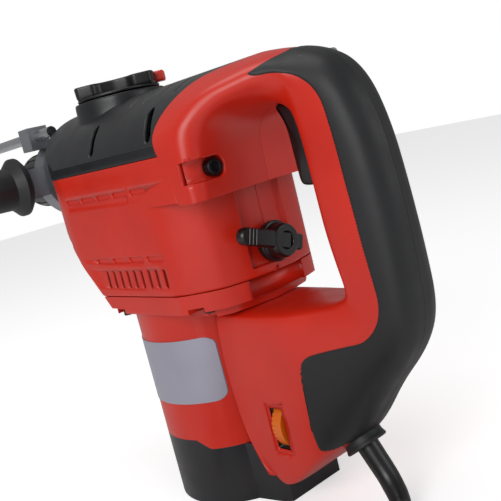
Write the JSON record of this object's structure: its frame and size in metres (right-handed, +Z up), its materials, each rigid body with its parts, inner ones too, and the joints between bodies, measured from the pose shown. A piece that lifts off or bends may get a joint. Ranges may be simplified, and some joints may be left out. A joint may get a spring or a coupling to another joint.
{
  "type": "rotary hammer drill",
  "caption": "Corded combination rotary hammer with an upright motor, D-handle, mode knob, rear mode lever, speed dial, side handle and keyless chuck.",
  "frame": {"origin": "where the motor axis meets the flat underside of the motor cap", "axes": "+X along the hammer axis towards the tool, +Y to the operator's left, +Z up along the motor axis"},
  "size_m": [0.4303, 0.2468, 0.288],
  "materials": {
    "red_housing": "fine moulded texture",
    "black_housing": "fine moulded texture",
    "rubber_grip": "soft over-moulding",
    "silver_label": "satin film",
    "nose_casting": "fine moulded texture",
    "black_screw": "black oxide",
    "steel": "machined",
    "aluminium_case": "as cast",
    "winding": "varnished copper and core sheets",
    "copper": "turned",
    "brass": "pressed",
    "carbon": "graphite",
    "fan_plastic": "moulded",
    "orange_dial": "moulded",
    "board": "circuit board",
    "black_cord": "semi-gloss cable sheath",
    "black_knob": "satin moulded"
  },
  "bodies": {
    "housing": {"gear_housing": "red_housing", "top_cover": "black_housing", "motor_housing": "red_housing", "motor_cap": "black_housing", "name_plate": "silver_label", "handle_left": "red_housing", "handle_right": "red_housing", "grip_rubber_left": "rubber_grip", "grip_rubber_right": "rubber_grip", "bracket_screws": "black_screw", "bracket_buffers": "rubber_grip", "handle_screws": "steel", "flange_screws": "black_screw", "cap_screws": "steel", "nose_housing": "nose_casting", "nose_screws": "black_screw", "crankcase": "aluminium_case", "motor_bearings": "steel", "stator": "winding", "brush_holders": "brass", "carbon_brushes": "carbon", "crank_bearings": "steel", "pinion_bearings": "steel", "spindle_bearings": "steel", "trigger_pin": "steel", "switch_body": "fan_plastic", "speed_board": "board", "strain_relief": "black_cord", "cord_lead": "black_cord", "cord_coil": "black_cord", "cord_tie": "rubber_grip", "plug_body": "black_cord", "plug_pins": "brass"},
    "armature": {"armature_shaft": "steel", "armature_core": "winding", "commutator": "copper", "cooling_fan": "fan_plastic"},
    "crank": {"crank_gear": "steel", "crank_shaft": "steel"},
    "piston_rod": {"connecting_rod": "aluminium_case", "piston": "aluminium_case"},
    "striker_body": {"striker": "steel"},
    "bolt_body": {"impact_bolt": "steel"},
    "intermediate": {"intermediate_shaft": "steel"},
    "tool_spindle": {"spindle": "steel", "spindle_gear": "steel", "tool_holder": "steel", "locking_balls": "steel", "sleeve_spring": "steel", "dust_cap": "rubber_grip"},
    "sleeve": {"locking_sleeve": "black_knob"},
    "mode_selector": {"mode_knob": "black_knob", "knob_shaft": "steel"},
    "lever": {"rear_lever": "black_knob"},
    "trigger_body": {"trigger": "black_knob"},
    "dial": {"speed_dial": "orange_dial"},
    "side_handle": {"side_grip": "rubber_grip", "clamp_band": "nose_casting"},
    "depth_stop": {"depth_rod": "steel"}
  },
  "joints": [
    {"name": "armature_spin", "type": "hinge", "parent": "housing", "child": "armature", "pos_m": [0, 0, 0.08], "axis": [0, 0, 1], "continuous": true},
    {"name": "crank_spin", "type": "hinge", "parent": "housing", "child": "crank", "pos_m": [-0.0366, 0, 0.163], "axis": [0, 0, 1], "continuous": true},
    {"name": "intermediate_spin", "type": "hinge", "parent": "housing", "child": "intermediate", "pos_m": [0.028, 0, 0.163], "axis": [0, 0, 1], "continuous": true},
    {"name": "spindle_spin", "type": "hinge", "parent": "housing", "child": "tool_spindle", "pos_m": [0.1, 0, 0.232], "axis": [1, 0, 0], "continuous": true},
    {"name": "piston_stroke", "type": "slide", "parent": "housing", "child": "piston_rod", "axis": [1, 0, 0], "range_m": [-0.022, 0]},
    {"name": "striker_travel", "type": "slide", "parent": "tool_spindle", "child": "striker_body", "axis": [1, 0, 0], "range_m": [-0.012, 0.006]},
    {"name": "bolt_travel", "type": "slide", "parent": "tool_spindle", "child": "bolt_body", "axis": [1, 0, 0], "range_m": [-0.002, 0]},
    {"name": "sleeve_pull", "type": "slide", "parent": "tool_spindle", "child": "sleeve", "axis": [1, 0, 0], "range_m": [-0.008, 0], "stiffness_N_per_m": 900, "springref_m": 0.006, "deforming": ["sleeve_spring"]},
    {"name": "mode_turn", "type": "hinge", "parent": "housing", "child": "mode_selector", "pos_m": [0.042, 0, 0.28], "axis": [0, 0, 1], "range_deg": [-100, 0]},
    {"name": "lever_turn", "type": "hinge", "parent": "housing", "child": "lever", "pos_m": [-0.085, 0, 0.165], "axis": [1, 0, 0], "range_deg": [0, 90]},
    {"name": "trigger_pull", "type": "hinge", "parent": "housing", "child": "trigger_body", "pos_m": [-0.133, 0, 0.237], "axis": [0, 1, 0], "range_deg": [0, 6], "stiffness_Nm_per_rad": 1.5, "springref_deg": -6.88},
    {"name": "speed_turn", "type": "hinge", "parent": "housing", "child": "dial", "pos_m": [-0.08, 0.0155, 0.0545], "axis": [1, 0, 0], "range_deg": [-120, 120]},
    {"name": "side_handle_swivel", "type": "hinge", "parent": "housing", "child": "side_handle", "pos_m": [0.13, 0, 0.232], "axis": [1, 0, 0], "range_deg": [-90, 90]},
    {"name": "depth_slide", "type": "slide", "parent": "side_handle", "child": "depth_stop", "axis": [1, 0, 0], "range_m": [-0.006, 0.02]}
  ],
  "couplings": [
    {"joint": "crank_spin", "follows": "armature_spin", "ratio": -0.16667},
    {"joint": "intermediate_spin", "follows": "armature_spin", "ratio": -0.2},
    {"joint": "spindle_spin", "follows": "armature_spin", "ratio": -0.08}
  ]
}
